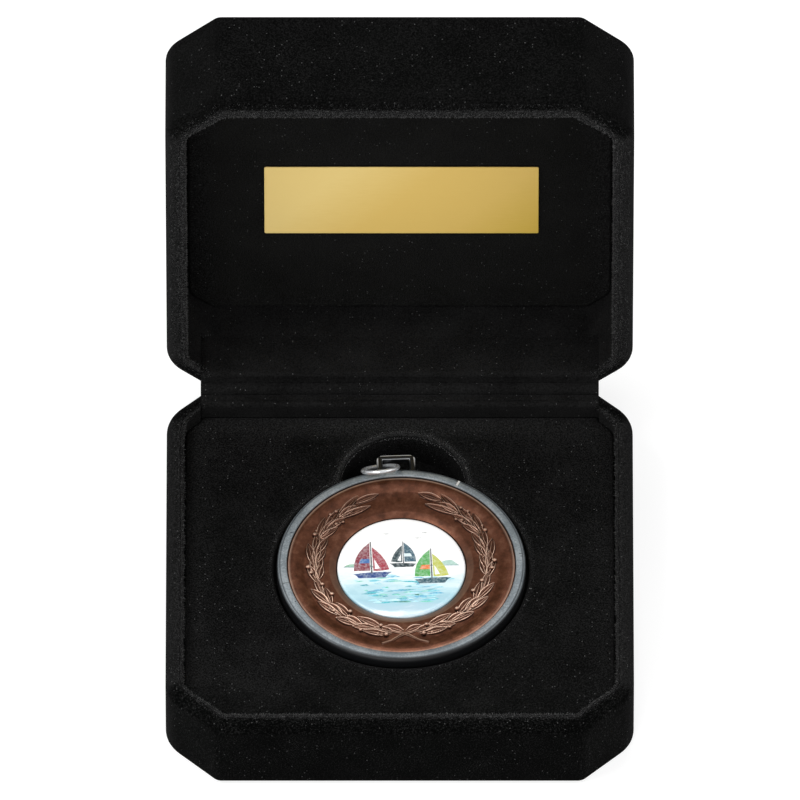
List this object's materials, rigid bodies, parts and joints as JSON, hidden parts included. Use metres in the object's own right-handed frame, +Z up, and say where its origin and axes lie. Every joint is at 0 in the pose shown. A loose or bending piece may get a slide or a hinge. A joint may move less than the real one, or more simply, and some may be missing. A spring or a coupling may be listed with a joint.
{
  "type": "cased medal",
  "caption": "Round medal with a wreath and a printed centre, lying in a hinged flocked case with a blank plate in its lid.",
  "frame": {"origin": "centre of the base's underside", "axes": "+Z up, the case's front faces -Y, +X to the right seen from the front; the lid stands open at the back"},
  "size_m": [0.0936, 0.1115, 0.1057],
  "materials": {
    "shell_flock": "short black flock on moulded styrene",
    "liner_flock": "short black flock on thin styrene",
    "tray_velvet": "smooth black velvet flock",
    "pad_velvet": "smooth black velvet",
    "support_foam": "open foam, matt",
    "grey_board": "uncoated grey board",
    "flocked_steel": "steel under black flock",
    "spring_steel": "bright drawn steel",
    "rivet_steel": "bright steel",
    "adhesive_film": "translucent adhesive film",
    "gold_plate": "satin gold anodised",
    "grey_metal": "polished grey nickel",
    "antique_bronze": "antique bronze, semi-gloss",
    "printed_disc": "glossy printed white",
    "nickel_wire": "bright nickel plated"
  },
  "bodies": {
    "base": {"base_shell": "shell_flock", "base_liner": "liner_flock", "insert_tray": "tray_velvet", "insert_support": "support_foam", "hinge_leaf_base": "flocked_steel", "hinge_pin": "spring_steel", "snap_spring": "spring_steel", "spring_rivet_left": "rivet_steel", "spring_rivet_right": "rivet_steel"},
    "lid": {"lid_shell": "shell_flock", "lid_liner": "liner_flock", "lid_board": "grey_board", "lid_pad": "pad_velvet", "plate_tape": "adhesive_film", "engraving_plate": "gold_plate", "hinge_leaf_lid": "flocked_steel"},
    "medal": {"medal_rim": "grey_metal", "medal_disc": "antique_bronze", "centre_tape": "adhesive_film", "centre_disc": "printed_disc"},
    "jump_ring": {"jump_ring": "nickel_wire"}
  },
  "joints": [
    {"name": "lid_hinge", "type": "hinge", "parent": "base", "child": "lid", "pos_m": [0, 0.04425, 0.01715], "axis": [1, 0, 0], "range_deg": [0, 90]},
    {"name": "medal_lift", "type": "slide", "parent": "base", "child": "medal", "axis": [0, 0, 1], "range_m": [0, 0.045]},
    {"name": "jump_ring_swing", "type": "hinge", "parent": "medal", "child": "jump_ring", "pos_m": [-0.00377, 0.02619, 0.01424], "axis": [-1, 0, 0], "range_deg": [0, 70]}
  ]
}
